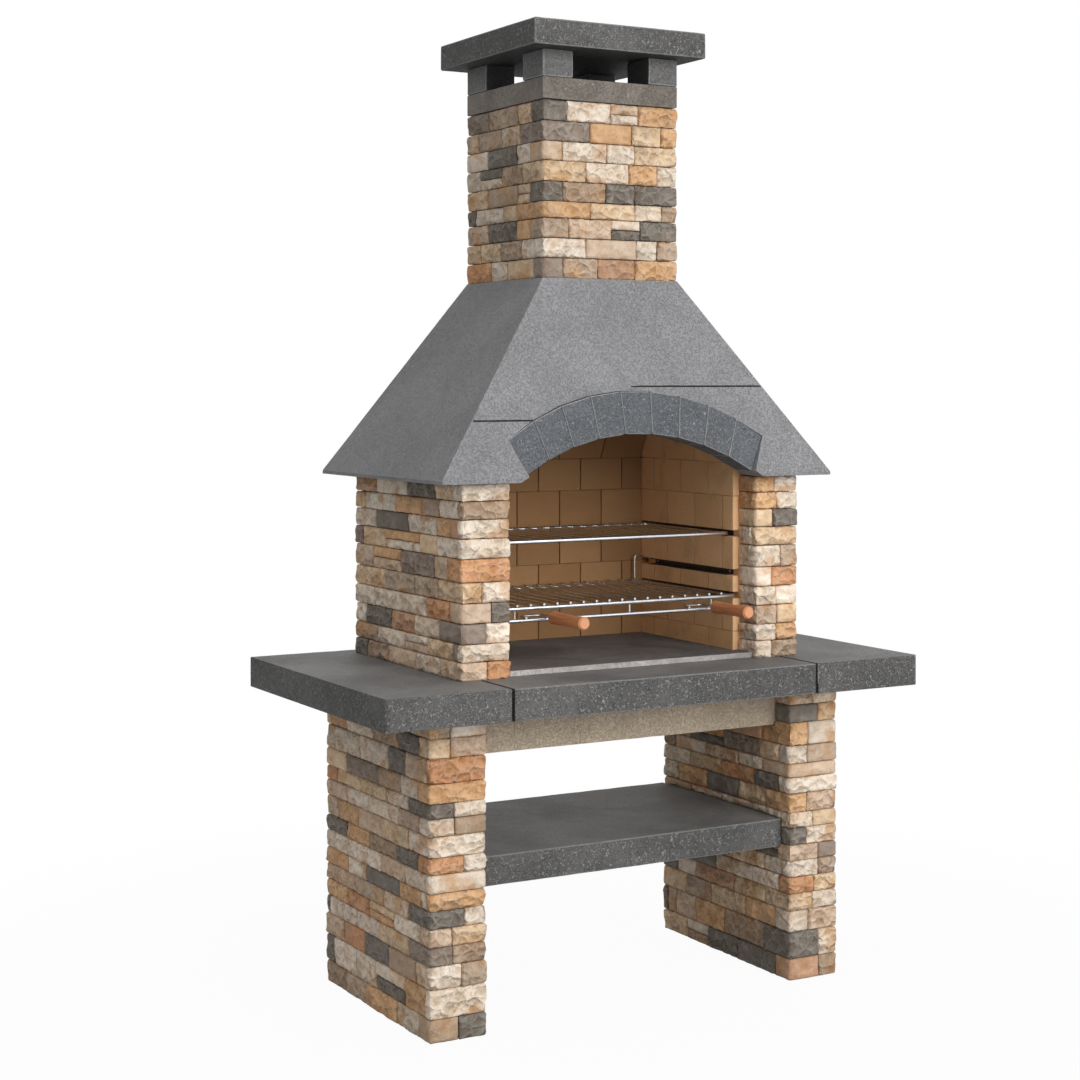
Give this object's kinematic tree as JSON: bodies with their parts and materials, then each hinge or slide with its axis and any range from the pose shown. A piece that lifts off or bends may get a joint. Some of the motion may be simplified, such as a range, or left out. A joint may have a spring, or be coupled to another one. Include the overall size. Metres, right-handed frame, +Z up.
{
  "type": "masonry barbecue",
  "caption": "Free-standing masonry barbecue clad in split stone, with a slab worktop, lower shelf, firebrick fire chamber, pull-out grates, sloping hood with an arch, and a capped chimney.",
  "frame": {"origin": "on the floor, below the middle of the worktop", "axes": "+Z up, -Y towards the open front of the fire chamber, +X to the right of someone who faces it"},
  "size_m": [1.5, 0.811, 2.405],
  "materials": {
    "cladding_stone": "split-face, matt",
    "core_concrete": "cast, matt",
    "beige_concrete": "cast, speckled",
    "dark_slab": "cast, fine flecks",
    "hood_concrete": "cast, fine grain",
    "arch_slate": "cast, slate grey",
    "collar_concrete": "cast, matt",
    "hearth_concrete": "cast, matt",
    "firebrick": "matt",
    "rail_steel": "heat-proof black",
    "screw_zinc": "zinc plated",
    "grate_chrome": "bright plated",
    "handle_wood": "oiled"
  },
  "bodies": {
    "barbecue": {"arch_keystone": "arch_slate", "arch_voussoirs": "arch_slate", "back_lining_bricks": "firebrick", "back_wall_block": "core_concrete", "cap_pillars": "dark_slab", "chimney_cap": "dark_slab", "chimney_collar": "collar_concrete", "chimney_corner_stones": "cladding_stone", "chimney_field_stones": "cladding_stone", "hearth_slab": "hearth_concrete", "hood_back_panel": "hood_concrete", "hood_front_left_panel": "hood_concrete", "hood_front_right_panel": "hood_concrete", "hood_front_upper_panel": "hood_concrete", "hood_left_panel": "hood_concrete", "hood_right_panel": "hood_concrete", "left_grate_rails": "rail_steel", "left_leg_corner_stones": "cladding_stone", "left_leg_field_stones": "cladding_stone", "left_leg_head_block": "core_concrete", "left_leg_lower_block": "core_concrete", "left_leg_pocket_block": "core_concrete", "left_leg_upper_block": "core_concrete", "left_lining_bricks": "firebrick", "left_support_block": "beige_concrete", "left_wall_block": "core_concrete", "lower_flue_block": "core_concrete", "lower_shelf": "dark_slab", "middle_flue_block": "core_concrete", "rail_screws": "screw_zinc", "right_grate_rails": "rail_steel", "right_leg_corner_stones": "cladding_stone", "right_leg_field_stones": "cladding_stone", "right_leg_head_block": "core_concrete", "right_leg_lower_block": "core_concrete", "right_leg_pocket_block": "core_concrete", "right_leg_upper_block": "core_concrete", "right_lining_bricks": "firebrick", "right_support_block": "beige_concrete", "right_wall_block": "core_concrete", "support_slab": "beige_concrete", "throat_bricks": "firebrick", "upper_flue_block": "core_concrete", "wall_corner_stones": "cladding_stone", "wall_field_stones": "cladding_stone", "worktop_left": "dark_slab", "worktop_middle": "dark_slab", "worktop_right": "dark_slab"},
    "upper_grate": {"upper_grate_frame": "grate_chrome", "upper_grate_bars": "grate_chrome"},
    "lower_grate": {"lower_grate_frame": "grate_chrome", "lower_grate_bars": "grate_chrome", "lower_grate_brace": "grate_chrome", "lower_grate_struts": "grate_chrome", "lower_grate_upright": "grate_chrome", "handle_wires": "grate_chrome", "left_handle": "handle_wood", "right_handle": "handle_wood"}
  },
  "joints": [
    {"name": "upper_grate_slide", "type": "slide", "parent": "barbecue", "child": "upper_grate", "axis": [0, -1, 0], "range_m": [0, 0.3]},
    {"name": "lower_grate_slide", "type": "slide", "parent": "barbecue", "child": "lower_grate", "axis": [0, -1, 0], "range_m": [0, 0.3]}
  ]
}
